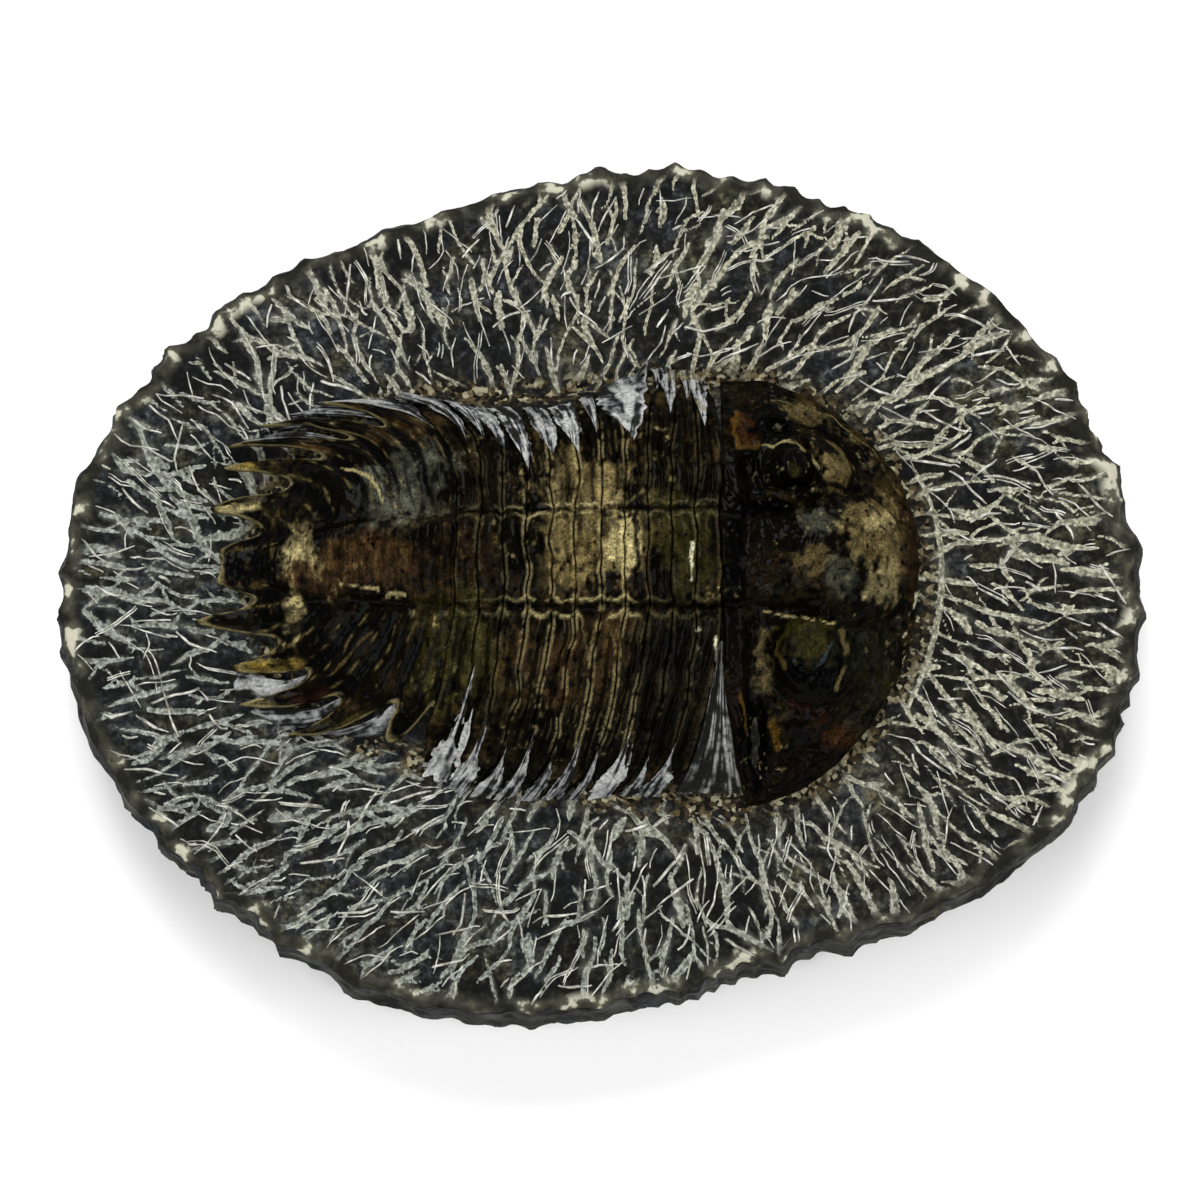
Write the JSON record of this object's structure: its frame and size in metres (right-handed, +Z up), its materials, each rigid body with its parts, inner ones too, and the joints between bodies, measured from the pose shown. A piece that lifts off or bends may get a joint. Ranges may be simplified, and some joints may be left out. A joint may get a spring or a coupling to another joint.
{
  "type": "fossil trilobite on matrix stone",
  "caption": "Long-spined trilobite fossil lying back up on an oval slab of dark tool-marked matrix stone, for display, teaching or use as a paperweight.",
  "frame": {"origin": "middle of the stone's flat base, under the middle of the object's box", "axes": "+X towards the trilobite's head, +Y towards its left side, +Z up, out of the stone's prepared top"},
  "size_m": [0.0912, 0.0728, 0.0279],
  "materials": {
    "matrix_stone": "dark fine-grained limestone, air-scribed on top and rough-broken on its sides",
    "head_shell": "dark brown mineralised shell with a thin varnish",
    "thorax_shell": "olive and golden brown mineralised shell with a thin varnish",
    "tail_shell": "olive brown mineralised shell with a thin varnish"
  },
  "bodies": {
    "root": {"matrix": "matrix_stone", "cephalon": "head_shell", "thoracic_segment_01": "thorax_shell", "thoracic_segment_02": "thorax_shell", "thoracic_segment_03": "thorax_shell", "thoracic_segment_04": "thorax_shell", "thoracic_segment_05": "thorax_shell", "thoracic_segment_06": "thorax_shell", "thoracic_segment_07": "thorax_shell", "thoracic_segment_08": "thorax_shell", "thoracic_segment_09": "thorax_shell", "thoracic_segment_10": "thorax_shell", "thoracic_segment_11": "thorax_shell", "pygidium": "tail_shell"}
  },
  "joints": []
}
